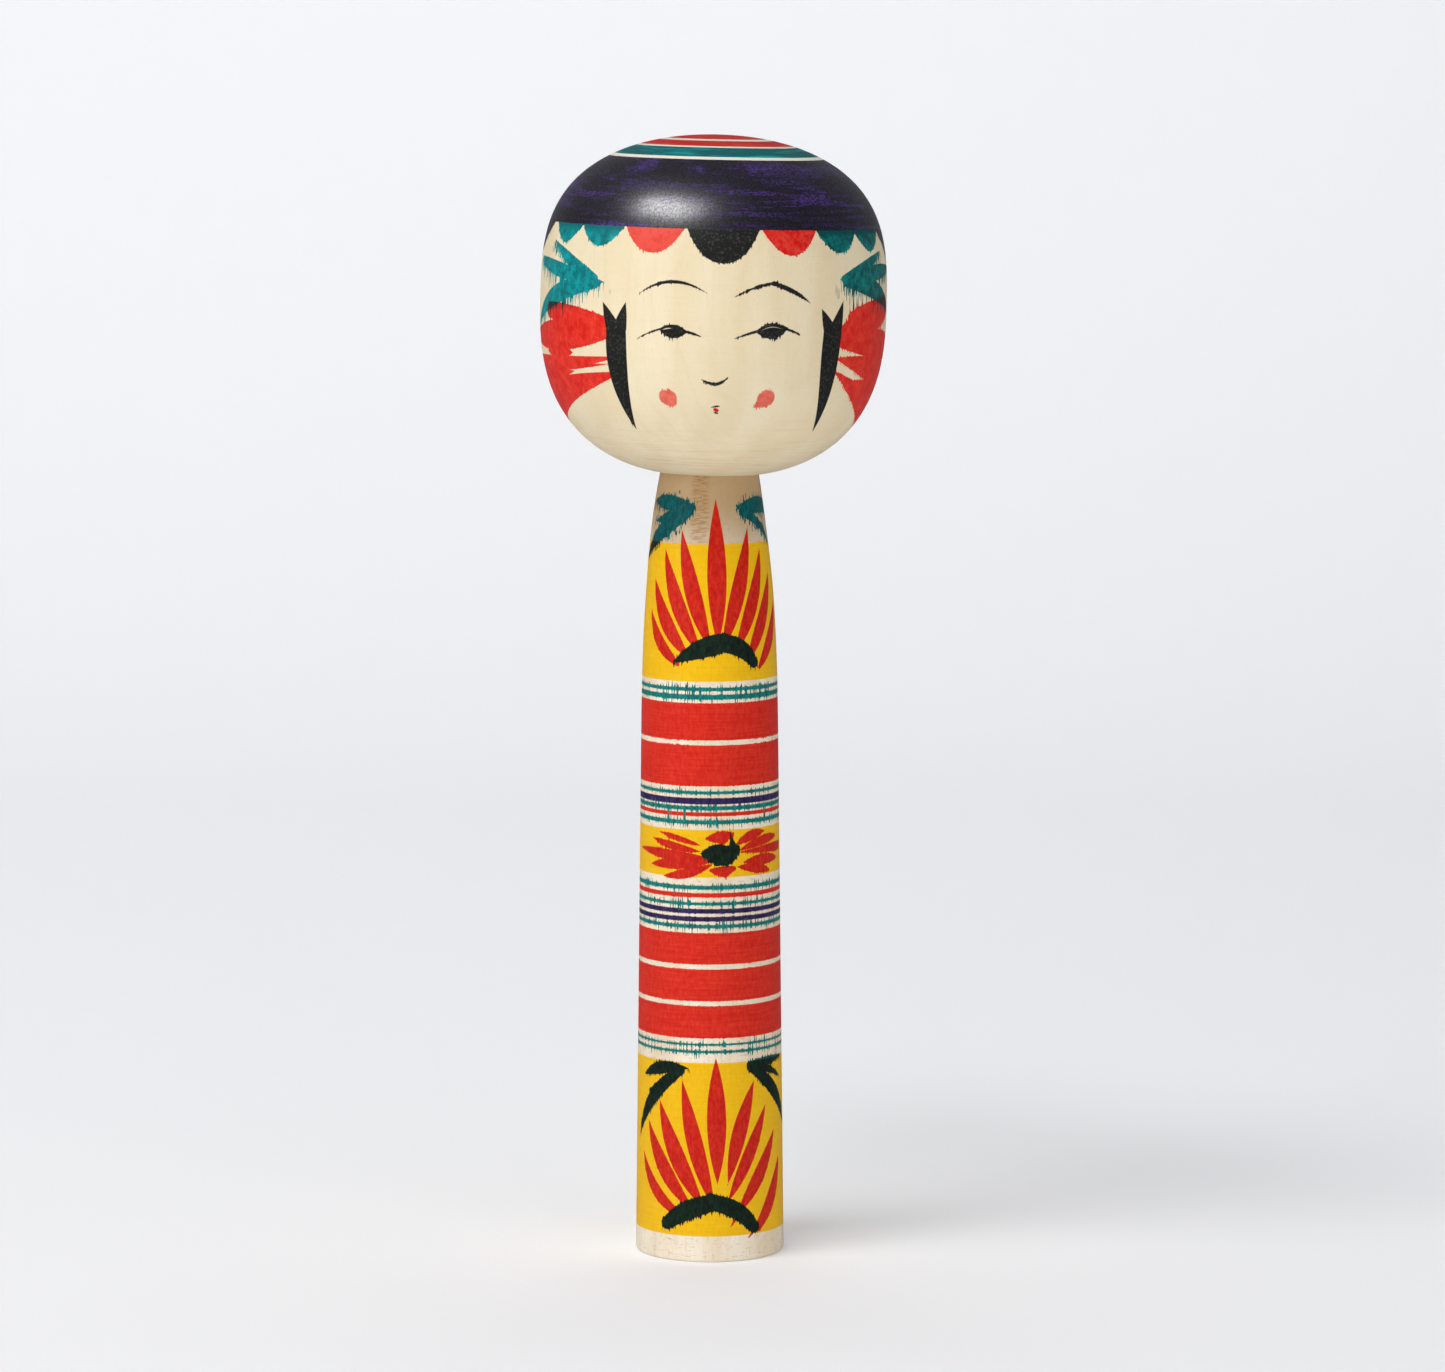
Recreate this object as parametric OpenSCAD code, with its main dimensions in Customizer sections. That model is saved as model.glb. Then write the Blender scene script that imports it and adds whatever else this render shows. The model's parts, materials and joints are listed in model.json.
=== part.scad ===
// A wooden kokeshi doll in two turned pieces: a trunk, and a globe-shaped head
// whose peg is pushed down into a socket in the neck. Millimetres, +Z up.
// The origin is the centre of the foot's underside. The face looks along -Y.

/* [Trunk] */
// Height of the trunk, from the foot's underside to the middle of the head's seat
trunk_h = 168.4; // [120:0.1:210]
// Diameter of the trunk at its foot
foot_d = 32; // [24:0.5:44]
// Diameter of the trunk where the shoulder begins
shoulder_d = 29.4; // [24:0.1:40]
// Height at which the shoulder begins to curve in
shoulder_z = 112; // [60:1:115]
// Diameter of the neck at the head's seat
neck_d = 21; // [17:0.1:24]
// Fullness of the shoulder curve: a higher value keeps the trunk wide for longer
shoulder_power = 2.6; // [1.5:0.1:4]
// Radius of the rounded edge around the foot
foot_round = 0.8; // [0.2:0.1:2]

/* [Head] */
// Greatest diameter of the head
head_d = 73.6; // [55:0.1:95]
// Height of the head above its widest line
crown_h = 36.4; // [25:0.1:45]
// Height of the widest line above the head's seat
chin_h = 35.2; // [25:0.1:45]
// Diameter of the flat turned under the head, which sits on the neck
flat_d = 23.6; // [20:0.1:30]
// Flatness of the top of the crown: 2 is an ellipse
crown_top_power = 2.1; // [2:0.1:4]
// Uprightness of the crown's sides: 2 is an ellipse
crown_side_power = 3.2; // [2:0.1:4]
// Squareness of the head's lower outline: 2 is an ellipse
chin_power = 2.5; // [2:0.1:4]
// Lean of the head and its peg towards +X, in degrees
head_lean = 1.3; // [0:0.1:3]

/* [Peg joint] */
// Diameter of the peg under the head
peg_d = 11; // [6:0.1:14]
// Length of the peg below the head's seat
peg_l = 18; // [8:0.5:30]
// Chamfer around the end of the peg
peg_chamfer = 1; // [0.2:0.1:2]
// Gap between the peg and the socket's wall, on the radius
peg_gap = 0.05; // [0.01:0.01:0.1]
// Space left in the socket below the peg
socket_space = 1.5; // [0.5:0.1:4]
// Gap between the neck and the flat under the head
seat_gap = 0.05; // [0.02:0.01:0.2]

/* [Hidden] */

foot_r = foot_d / 2;
shoulder_r = shoulder_d / 2;
neck_r = neck_d / 2;
head_r = head_d / 2;
flat_r = flat_d / 2;
peg_r = peg_d / 2;

// Height of the head's widest line above the neck's seat
widest_h = seat_gap + chin_h;
// Depth at which the lower outline would close if no flat were turned on it
chin_full = chin_h / pow(1 - pow(flat_r / head_r, chin_power), 1 / chin_power);
// Angle of the lower outline at the edge of the flat
flat_angle = asin(pow(chin_h / chin_full, chin_power / 2));
// How much the shoulder has curved in at the seat
shoulder_drop = straight_r(trunk_h) - neck_r;
// Wood left above the seat before it is cut square to the leaning peg
seat_waste = neck_r * tan(head_lean) + 0.5;

shoulder_steps = 20;
head_steps = 24;
round_steps = 5;
turned_fn = 128;

// Radius of the straight, slightly tapered trunk
function straight_r(z) = foot_r + (shoulder_r - foot_r) * z / shoulder_z;

// Radius of the shoulder curve, where t is 0 at its start and 1 at the seat
function shoulder_curve(z, t) = straight_r(z) - shoulder_drop * pow(t, shoulder_power);

// One point of a superellipse, at an angle from its widest line
function globe_point(r, h, top_power, side_power, angle) =
    [r * pow(cos(angle), 2 / top_power), h * pow(sin(angle), 2 / side_power)];

trunk_top = trunk_h + seat_waste;

trunk_outline = [
    [0, 0],
    for (i = [0:round_steps])
        let (a = 90 * i / round_steps)
        [foot_r - foot_round * (1 - sin(a)), foot_round * (1 - cos(a))],
    for (i = [0:shoulder_steps])
        let (z = shoulder_z + (trunk_top - shoulder_z) * i / shoulder_steps)
        [shoulder_curve(z, (z - shoulder_z) / (trunk_h - shoulder_z)), z],
    [0, trunk_top],
];

head_outline = [
    [0, -peg_l],
    [peg_r - peg_chamfer, -peg_l],
    [peg_r, peg_chamfer - peg_l],
    [peg_r, seat_gap],
    for (i = [0:head_steps])
        let (a = flat_angle * (1 - i / head_steps))
        let (p = globe_point(head_r, -chin_full, chin_power, chin_power, a))
        [p.x, widest_h + p.y],
    for (i = [1:head_steps - 1])
        let (a = 90 * i / head_steps)
        let (p = globe_point(head_r, crown_h, crown_top_power, crown_side_power, a))
        [p.x, widest_h + p.y],
    [0, widest_h + crown_h],
];

// Places a shape on the leaning axis that the peg turns about, with z = 0 at the seat
module on_peg_axis() {
    translate([0, 0, trunk_h])
        rotate([0, head_lean, 0])
            children();
}

// The trunk: turned between centres, then faced and bored for the peg
module trunk() {
    color("burlywood")
        difference() {
            rotate_extrude($fn = turned_fn)
                polygon(trunk_outline);
            on_peg_axis()
                cylinder(r = foot_r, h = 2 * seat_waste + foot_r, $fn = turned_fn);
            on_peg_axis()
                translate([0, 0, -peg_l - socket_space])
                    cylinder(r = peg_r + peg_gap, h = peg_l + socket_space + 1, $fn = turned_fn);
        }
}

// The head: turned in one piece with the peg that holds it
module head() {
    color("wheat")
        on_peg_axis()
            rotate_extrude($fn = turned_fn)
                polygon(head_outline);
}

trunk();
head();
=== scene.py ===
import json
import math

import bpy
import numpy as np
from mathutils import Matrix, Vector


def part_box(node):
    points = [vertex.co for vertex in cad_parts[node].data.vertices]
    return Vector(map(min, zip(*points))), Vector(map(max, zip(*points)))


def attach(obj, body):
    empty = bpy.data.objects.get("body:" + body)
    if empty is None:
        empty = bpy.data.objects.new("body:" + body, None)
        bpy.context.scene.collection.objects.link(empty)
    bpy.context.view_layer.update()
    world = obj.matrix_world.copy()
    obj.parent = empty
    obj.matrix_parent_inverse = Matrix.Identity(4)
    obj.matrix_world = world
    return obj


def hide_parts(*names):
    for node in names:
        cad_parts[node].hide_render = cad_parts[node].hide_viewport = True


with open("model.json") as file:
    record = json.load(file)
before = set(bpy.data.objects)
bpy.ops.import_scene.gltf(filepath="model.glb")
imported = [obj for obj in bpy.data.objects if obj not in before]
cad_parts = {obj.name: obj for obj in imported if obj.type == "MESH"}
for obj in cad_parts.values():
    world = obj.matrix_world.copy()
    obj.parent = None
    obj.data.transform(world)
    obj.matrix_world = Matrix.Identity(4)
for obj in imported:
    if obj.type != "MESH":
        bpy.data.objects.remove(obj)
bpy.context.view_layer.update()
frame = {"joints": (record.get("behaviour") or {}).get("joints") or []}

# ---------------------------------------------------------------------------------------------
# The trunk: one length of pale dogwood, turned between centres to a slight taper with a long
# shoulder, faced square to the leaning peg and bored for it. Its bands are dyed while it turns,
# its flowers are brushed on by hand, and it is rubbed with wax.

# Sizes are in millimetres here, and meshes are in metres
MM = 0.001
CUTS_AROUND = 192
FOOT_CUTS = 8
ROUND_CUTS = 6
SIDE_CUTS = 29
SHOULDER_CUTS = 45

head_joint = frame["joints"][0]
seat_height = head_joint["pos_m"][2] / MM
head_lean = math.atan2(head_joint["axis"][0], head_joint["axis"][2])

foot_radius = (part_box("trunk")[1].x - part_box("trunk")[0].x) / 2 / MM
shoulder_radius = 14.7
shoulder_height = 112.0
shoulder_power = 2.6
neck_radius = 10.5
foot_round = 0.8
bend_height = 26.0

peg_radius = 5.5
peg_length = -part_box("head")[0].z / MM + seat_height
peg_chamfer = 1.0
peg_gap = 0.05
socket_space = 1.5
seat_gap = 0.05


def taper(height):
    """The trunk's radius before its shoulder is turned in."""
    return foot_radius + (shoulder_radius - foot_radius) * height / shoulder_height


def shoulder(height):
    """The trunk's radius along the shoulder, which curves in to the neck."""
    turned_in = taper(seat_height) - neck_radius
    along = (height - shoulder_height) / (seat_height - shoulder_height)
    return taper(height) - turned_in * along ** shoulder_power


def trunk_outline():
    """Radius, height and share of the lean, from the middle of the foot to the socket's floor."""
    points = [(foot_radius * i / FOOT_CUTS, 0.0, 0.0) for i in range(FOOT_CUTS)]
    for i in range(ROUND_CUTS + 1):
        angle = math.pi / 2 * i / ROUND_CUTS
        points.append((foot_radius - foot_round * (1 - math.sin(angle)),
                       foot_round * (1 - math.cos(angle)), 0.0))
    for height in np.linspace(foot_round, shoulder_height, SIDE_CUTS + 1)[1:]:
        points.append((taper(height), height, 0.0))
    for height in np.linspace(shoulder_height, seat_height, SHOULDER_CUTS + 1)[1:]:
        leaning = max(0.0, 1 - (seat_height - height) / bend_height)
        points.append((shoulder(height), height, leaning * leaning * (3 - 2 * leaning)))
    socket_radius = peg_radius + peg_gap
    socket_floor = seat_height - peg_length - socket_space
    for share in (0.7, 0.35, 0.0):
        points.append((socket_radius + (neck_radius - socket_radius) * share, seat_height, 1.0))
    for share in (0.5, 1.0):
        points.append((socket_radius, seat_height + (socket_floor - seat_height) * share, 1.0))
    return points + [(socket_radius / 2, socket_floor, 1.0), (0.0, socket_floor, 1.0)]


def put(tree, kind, inputs, **settings):
    """Places one node, with its inputs set to a value or joined to another output."""
    made = tree.nodes.new(kind)
    for name, value in settings.items():
        if name == "group":
            made.node_tree = value
        else:
            setattr(made, name, value)
    for name, value in inputs.items():
        if isinstance(value, bpy.types.NodeSocket):
            tree.links.new(value, made.inputs[name])
        else:
            made.inputs[name].default_value = value
    return made


def work(tree, operation, a, b=0.0, c=0.0, clamp=False):
    """One sum on two or three numbers."""
    return put(tree, "ShaderNodeMath", {0: a, 1: b, 2: c}, operation=operation,
               use_clamp=clamp).outputs[0]


def lathe():
    """The tree that turns an outline once round and leans what follows the peg."""
    tree = bpy.data.node_groups.new("turn_on_lathe", "GeometryNodeTree")
    for label, kind in [("Outline", "Geometry"), ("Cuts around", "Int"), ("Seat height", "Float"),
                        ("Lean", "Float"), ("Finish", "Material")]:
        tree.interface.new_socket(label, in_out="INPUT", socket_type="NodeSocket" + kind)
    tree.interface.new_socket("Piece", in_out="OUTPUT", socket_type="NodeSocketGeometry")

    given = tree.nodes.new("NodeGroupInput").outputs
    outline, cuts = given["Outline"], given["Cuts around"]
    rows = put(tree, "GeometryNodeAttributeDomainSize", {"Geometry": outline}).outputs["Point Count"]
    columns = work(tree, "ADD", cuts, 1.0)
    grid = put(tree, "GeometryNodeMeshGrid", {"Vertices X": columns, "Vertices Y": rows}).outputs["Mesh"]
    index = put(tree, "GeometryNodeInputIndex", {}).outputs[0]
    column = work(tree, "FLOOR", work(tree, "DIVIDE", work(tree, "ADD", index, 0.5), rows))
    row = work(tree, "SUBTRACT", index, work(tree, "MULTIPLY", column, rows))
    place = put(tree, "GeometryNodeInputPosition", {}).outputs[0]
    point = put(tree, "GeometryNodeSampleIndex", {"Geometry": outline, "Value": place, "Index": row},
                data_type="FLOAT_VECTOR").outputs["Value"]
    mark = put(tree, "GeometryNodeInputNamedAttribute", {"Name": "leaning"}, data_type="FLOAT").outputs[0]
    leaning = put(tree, "GeometryNodeSampleIndex", {"Geometry": outline, "Value": mark, "Index": row},
                  data_type="FLOAT").outputs["Value"]
    split = put(tree, "ShaderNodeSeparateXYZ", {0: point}).outputs
    angle = work(tree, "DIVIDE", work(tree, "MULTIPLY", column, math.tau), cuts)
    across = work(tree, "MULTIPLY", work(tree, "SINE", angle), split["X"])
    outward = work(tree, "MULTIPLY", work(tree, "COSINE", angle), split["X"])
    turned = put(tree, "ShaderNodeCombineXYZ", {
        "X": across, "Y": work(tree, "MULTIPLY", outward, -1.0), "Z": split["Z"]}).outputs[0]
    seat = put(tree, "ShaderNodeCombineXYZ", {"Z": given["Seat height"]}).outputs[0]
    leant = put(tree, "ShaderNodeVectorRotate", {
        "Vector": turned, "Center": seat, "Angle": work(tree, "MULTIPLY", leaning, given["Lean"])},
        rotation_type="Y_AXIS").outputs[0]
    shaped = put(tree, "GeometryNodeSetPosition", {"Geometry": grid, "Position": leant}).outputs[0]
    joined = put(tree, "GeometryNodeMergeByDistance", {"Geometry": shaped, "Distance": 1e-6}).outputs[0]
    smooth = put(tree, "GeometryNodeSetShadeSmooth", {"Geometry": joined}).outputs[0]
    real = put(tree, "GeometryNodeRealizeInstances", {"Geometry": smooth}).outputs[0]
    done = put(tree, "GeometryNodeSetMaterial", {"Geometry": real, "Material": given["Finish"]}).outputs[0]
    put(tree, "NodeGroupOutput", {"Piece": done})
    return tree


def turn(name, outline, tree, finish):
    """Turns an outline into a plain closed mesh of that name."""
    wire = bpy.data.meshes.new(name + "_outline")
    wire.from_pydata([(r * MM, 0.0, z * MM) for r, z, _ in outline],
                     [(i, i + 1) for i in range(len(outline) - 1)], [])
    leaning = wire.attributes.new("leaning", "FLOAT", "POINT")
    leaning.data.foreach_set("value", [share for _, _, share in outline])
    blank = bpy.data.objects.new(name + "_blank", wire)
    bpy.context.scene.collection.objects.link(blank)
    modifier = blank.modifiers.new("lathe", "NODES")
    modifier.node_group = tree
    inputs = {"Cuts around": CUTS_AROUND, "Seat height": seat_height * MM, "Lean": head_lean,
              "Finish": finish}
    for item in tree.interface.items_tree:
        if item.item_type == "SOCKET" and item.name in inputs:
            modifier[item.identifier] = inputs[item.name]
    seen = blank.evaluated_get(bpy.context.evaluated_depsgraph_get())
    mesh = bpy.data.meshes.new_from_object(seen)
    bpy.data.objects.remove(blank)
    mesh.name = name
    mesh.set_sharp_from_angle(angle=math.radians(35))
    piece = bpy.data.objects.new(name, mesh)
    bpy.context.scene.collection.objects.link(piece)
    return piece


# The trunk's wood and dyes. The thin dye creeps along the grain past the edge of each band and
# of each pull of the brush.


def shade(tree, under, over, share):
    """One colour laid over another."""
    return put(tree, "ShaderNodeMix", {0: share, 6: under, 7: over}, data_type="RGBA").outputs[2]


def grade(tree, value, low, high, low_out=0.0, high_out=1.0):
    """A value smoothly moved from one range to another."""
    inputs = {"Value": value, "From Min": low, "From Max": high, "To Min": low_out, "To Max": high_out}
    return put(tree, "ShaderNodeMapRange", inputs, interpolation_type="SMOOTHSTEP",
               clamp=False).outputs[0]


def cloud(tree, vector, stretch, detail=2.0, rough=0.5):
    """Noise whose spots are about as large, in millimetres, as stretch says along X, Y and Z."""
    scale = tuple(1.0 / s for s in stretch)
    spots = put(tree, "ShaderNodeVectorMath", {0: vector, 1: scale}, operation="MULTIPLY").outputs[0]
    inputs = {"Vector": spots, "Scale": 1.0, "Detail": detail, "Roughness": rough}
    return put(tree, "ShaderNodeTexNoise", inputs).outputs[0]


def start_group(name, inputs, outputs):
    """A new shader group, with the outputs of the node that holds what it is given."""
    tree = bpy.data.node_groups.new(name, "ShaderNodeTree")
    for label, kind, value in inputs:
        socket = tree.interface.new_socket(label, in_out="INPUT", socket_type="NodeSocket" + kind)
        socket.default_value = value
    for label, kind in outputs:
        tree.interface.new_socket(label, in_out="OUTPUT", socket_type="NodeSocket" + kind)
    given = tree.nodes.new("NodeGroupInput").outputs
    return tree, given


def end_group(tree, results):
    """Joins a group's results to its outputs."""
    put(tree, "NodeGroupOutput", results)
    return tree


def paint(code):
    """A colour written as it looks on screen, changed to the shader's own scale."""
    parts = [int(code[i:i + 2], 16) / 255 for i in (0, 2, 4)]
    return tuple(p / 12.92 if p <= 0.04045 else ((p + 0.055) / 1.055) ** 2.4 for p in parts) + (1.0,)


# How deep a point lies in the dye before any brush has come near it, in millimetres
UNTOUCHED = -9.0


def surface_place(tree, girth, seat=0.0, lean=0.0):
    """Where a point lies on a turned piece: in its wood, then around, up its axis and out from it.

    All are in millimetres. Place is around and up together, and girth is the radius that turns an
    angle into millimetres around.
    """
    seen = put(tree, "ShaderNodeTexCoord", {}).outputs["Object"]
    wood = put(tree, "ShaderNodeMapping", {
        "Vector": seen, "Location": (0.0, 0.0, seat * MM), "Rotation": (0.0, lean, 0.0),
        "Scale": (MM, MM, MM)}, vector_type="TEXTURE").outputs[0]
    part = put(tree, "ShaderNodeSeparateXYZ", {0: wood}).outputs
    up = part["Z"]
    front = work(tree, "MULTIPLY", part["Y"], -1.0)
    around = work(tree, "MULTIPLY", work(tree, "ARCTAN2", part["X"], front), girth)
    square = work(tree, "MULTIPLY", part["X"], part["X"])
    out = work(tree, "SQRT", work(tree, "MULTIPLY_ADD", front, front, square))
    place = put(tree, "ShaderNodeCombineXYZ", {"X": around, "Y": up}).outputs[0]
    return wood, place, around, up, out


def turned_wood_group():
    """Waxed dogwood: long fibres, pores, growth rings and the cross marks left by the tool."""
    tree, given = start_group("turned_wood", [
        ("Wood", "Vector", (0, 0, 0)), ("Pale", "Color", (1, 1, 1, 1)), ("Warm", "Color", (1, 1, 1, 1)),
        ("Brown", "Color", (0, 0, 0, 1)), ("Rings", "Float", 0.3), ("Flecks", "Float", 0.3),
        ("Pores", "Float", 0.3), ("Ring centre", "Vector", (30, 40, 0)),
    ], [("Color", "Color"), ("Fibre", "Float"), ("Height", "Float")])
    wood = given["Wood"]
    broad = cloud(tree, wood, (9, 9, 60), 3.0)
    colour = shade(tree, given["Pale"], given["Warm"], grade(tree, broad, 0.35, 0.68))
    fibre = cloud(tree, wood, (0.4, 0.4, 6), 3.0, 0.65)
    colour = shade(tree, colour, given["Warm"], grade(tree, fibre, 0.42, 0.72, 0.0, 0.35))
    wander = cloud(tree, wood, (14, 14, 55), 2.0)
    from_centre = put(tree, "ShaderNodeVectorMath", {0: wood, 1: given["Ring centre"]},
                      operation="SUBTRACT").outputs[0]
    flat = put(tree, "ShaderNodeVectorMath", {0: from_centre, 1: (1.0, 1.0, 0.035)},
               operation="MULTIPLY").outputs[0]
    reach = put(tree, "ShaderNodeVectorMath", {0: flat}, operation="LENGTH").outputs["Value"]
    ring = work(tree, "MULTIPLY_ADD", wander, 16.0, work(tree, "MULTIPLY", reach, 1.7))
    ring = work(tree, "SINE", ring)
    ring = grade(tree, ring, 0.55, 1.0)
    ring = work(tree, "MULTIPLY", ring, grade(tree, fibre, 0.3, 0.6, 0.35, 1.0))
    colour = shade(tree, colour, given["Brown"], work(tree, "MULTIPLY", ring, given["Rings"]))
    fleck = cloud(tree, wood, (1.6, 1.6, 0.28), 2.0, 0.6)
    fleck = grade(tree, fleck, 0.56, 0.74)
    colour = shade(tree, colour, given["Brown"], work(tree, "MULTIPLY", fleck, given["Flecks"]))
    pore = grade(tree, cloud(tree, wood, (0.2, 0.2, 2.2), 1.0), 0.6, 0.75)
    colour = shade(tree, colour, given["Brown"], work(tree, "MULTIPLY", pore, given["Pores"]))
    height = work(tree, "SUBTRACT", work(tree, "MULTIPLY", fibre, 0.6), work(tree, "MULTIPLY", pore, 0.7))
    height = work(tree, "MULTIPLY_ADD", fleck, -0.15, height)
    return end_group(tree, {"Color": colour, "Fibre": fibre, "Height": height})


def fibre_creep_group():
    """How far thin dye has crept along each fibre, as a close comb and as a few long spikes."""
    tree, given = start_group("fibre_creep", [("Wood", "Vector", (0, 0, 0))],
                              [("Comb", "Float"), ("Spikes", "Float")])
    wood = given["Wood"]
    threads = cloud(tree, wood, (0.3, 0.3, 5.0), 1.0)
    patches = grade(tree, cloud(tree, wood, (5, 5, 6), 1.0), 0.32, 0.68)
    comb = work(tree, "MULTIPLY", grade(tree, threads, 0.42, 0.74), work(
        tree, "MULTIPLY_ADD", patches, 0.6, 0.4))
    spikes = work(tree, "MULTIPLY", grade(tree, threads, 0.52, 0.74), patches)
    return end_group(tree, {"Comb": comb, "Spikes": spikes})


def dyed_band_group():
    """How deep a point lies inside a band turned round the piece, or the bands before it."""
    tree, given = start_group("dyed_band", [
        ("Up", "Float", 0.0), ("Low edge", "Float", 0.0), ("High edge", "Float", 1.0),
        ("Creep", "Float", 0.0), ("So far", "Float", UNTOUCHED),
    ], [("Inside", "Float")])
    above = work(tree, "SUBTRACT", given["Up"], given["Low edge"])
    below = work(tree, "SUBTRACT", given["High edge"], given["Up"])
    inside = work(tree, "ADD", work(tree, "MINIMUM", above, below), given["Creep"])
    return end_group(tree, {"Inside": work(tree, "MAXIMUM", inside, given["So far"])})


def brush_stroke_group():
    """How deep a point lies inside one pull of a pointed brush, or the strokes before it."""
    tree, given = start_group("brush_stroke", [
        ("Place", "Vector", (0, 0, 0)), ("Start", "Vector", (0, 0, 0)), ("Tilt", "Float", 0.0),
        ("Length", "Float", 10.0), ("Bend", "Float", 0.0), ("First width", "Float", 0.2),
        ("Middle width", "Float", 1.0), ("Last width", "Float", 0.2), ("Creep", "Float", 0.0),
        ("Climb", "Float", 0.7), ("So far", "Float", UNTOUCHED),
    ], [("Inside", "Float")])
    turn_to = put(tree, "ShaderNodeCombineXYZ", {"Z": given["Tilt"]}).outputs[0]
    local = put(tree, "ShaderNodeMapping", {
        "Vector": given["Place"], "Location": given["Start"], "Rotation": turn_to},
        vector_type="TEXTURE").outputs[0]
    part = put(tree, "ShaderNodeSeparateXYZ", {0: local}).outputs
    along = work(tree, "MAXIMUM", work(tree, "DIVIDE", part["X"], given["Length"]), 0.0)
    along = work(tree, "MINIMUM", along, 1.0)
    hump = work(tree, "MULTIPLY", along, work(tree, "SUBTRACT", 1.0, along))
    swing = work(tree, "MULTIPLY", given["Bend"], -4.0)
    side = work(tree, "MULTIPLY_ADD", hump, swing, part["Y"])
    change = work(tree, "SUBTRACT", given["Last width"], given["First width"])
    width = work(tree, "MULTIPLY_ADD", along, change, given["First width"])
    ends = work(tree, "ADD", given["First width"], given["Last width"])
    belly = work(tree, "MULTIPLY_ADD", ends, -2.0, work(tree, "MULTIPLY", given["Middle width"], 4.0))
    width = work(tree, "MULTIPLY_ADD", hump, belly, width)
    over = work(tree, "SUBTRACT", part["X"], work(tree, "MULTIPLY", along, given["Length"]))
    square = work(tree, "MULTIPLY", side, side)
    away = work(tree, "SQRT", work(tree, "MULTIPLY_ADD", over, over, square))
    rise = work(tree, "MULTIPLY", over, work(tree, "SINE", given["Tilt"]))
    rise = work(tree, "MULTIPLY_ADD", side, work(tree, "COSINE", given["Tilt"]), rise)
    rise = work(tree, "DIVIDE", rise, work(tree, "MAXIMUM", away, 0.01))
    fall = work(tree, "MULTIPLY", rise, -1.0)
    upright = work(tree, "MAXIMUM", fall, work(tree, "MULTIPLY", rise, given["Climb"]))
    crept = work(tree, "MULTIPLY", work(tree, "POWER", upright, 1.5), given["Creep"])
    inside = work(tree, "ADD", work(tree, "SUBTRACT", width, away), crept)
    return end_group(tree, {"Inside": work(tree, "MAXIMUM", inside, given["So far"])})


def soaked_dye_group():
    """Dye soaked into what lies under it, mottled where the brush was drier."""
    tree, given = start_group("soaked_dye", [
        ("Under", "Color", (1, 1, 1, 1)), ("Full", "Color", (0, 0, 0, 1)),
        ("Thin", "Color", (0, 0, 0, 1)), ("Inside", "Float", 0.0), ("Edge", "Float", 0.08),
        ("Mottle", "Float", 0.5), ("Strength", "Float", 1.0),
    ], [("Color", "Color"), ("Cover", "Float")])
    edge = work(tree, "MULTIPLY", given["Edge"], -1.0)
    cover = grade(tree, given["Inside"], edge, given["Edge"])
    cover = work(tree, "MULTIPLY", cover, given["Strength"])
    tone = shade(tree, given["Full"], given["Thin"], given["Mottle"])
    return end_group(tree, {"Color": shade(tree, given["Under"], tone, cover), "Cover": cover})


turned_wood = turned_wood_group()
fibre_creep = fibre_creep_group()
dyed_band = dyed_band_group()
brush_stroke = brush_stroke_group()
soaked_dye = soaked_dye_group()


def brush(tree, place, strokes, creep, so_far=UNTOUCHED, climb=0.7):
    """Lays strokes one by one: start, end, sideways bend, and half widths at first, middle, last."""
    for start, end, bend, widths in strokes:
        run, rise = end[0] - start[0], end[1] - start[1]
        so_far = put(tree, "ShaderNodeGroup", {
            "Place": place, "Start": (start[0], start[1], 0.0),
            "Tilt": math.atan2(rise, run), "Length": math.hypot(run, rise), "Bend": bend,
            "First width": widths[0], "Middle width": widths[1], "Last width": widths[2],
            "Creep": creep, "Climb": climb, "So far": so_far}, group=brush_stroke).outputs[0]
    return so_far


def bands(tree, up, edges, creep):
    """Holds a loaded brush to the turning wood at each pair of heights."""
    so_far = UNTOUCHED
    for low, high in edges:
        so_far = put(tree, "ShaderNodeGroup", {
            "Up": up, "Low edge": low, "High edge": high, "Creep": creep, "So far": so_far},
            group=dyed_band).outputs[0]
    return so_far


def soak(tree, under, full, thin, inside, mottle, edge=0.07, strength=1.0):
    """Soaks one dye in, and gives the new colour and where the dye lies."""
    made = put(tree, "ShaderNodeGroup", {
        "Under": under, "Full": full, "Thin": thin, "Inside": inside, "Edge": edge,
        "Mottle": mottle, "Strength": strength}, group=soaked_dye).outputs
    return made["Color"], made["Cover"]


# Heights of the bands in millimetres above the foot, lowest first
YELLOW_BANDS = [(5.7, 43.2), (83.2, 93.3), (125.0, 154.0)]
RED_BANDS = [(48.6, 55.5), (56.6, 63.4), (64.5, 71.2), (78.9, 79.8), (96.3, 97.1), (102.7, 111.4),
             (112.5, 120.4)]
TEAL_BANDS = [(45.4, 45.9), (47.0, 47.4), (72.3, 73.0), (77.2, 77.8), (80.6, 81.4), (94.6, 95.4),
              (97.6, 98.4), (101.0, 101.6), (121.2, 122.2), (123.0, 123.7)]
VIOLET_BANDS = [(73.75, 74.7), (75.45, 76.4), (98.85, 100.15)]

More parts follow.
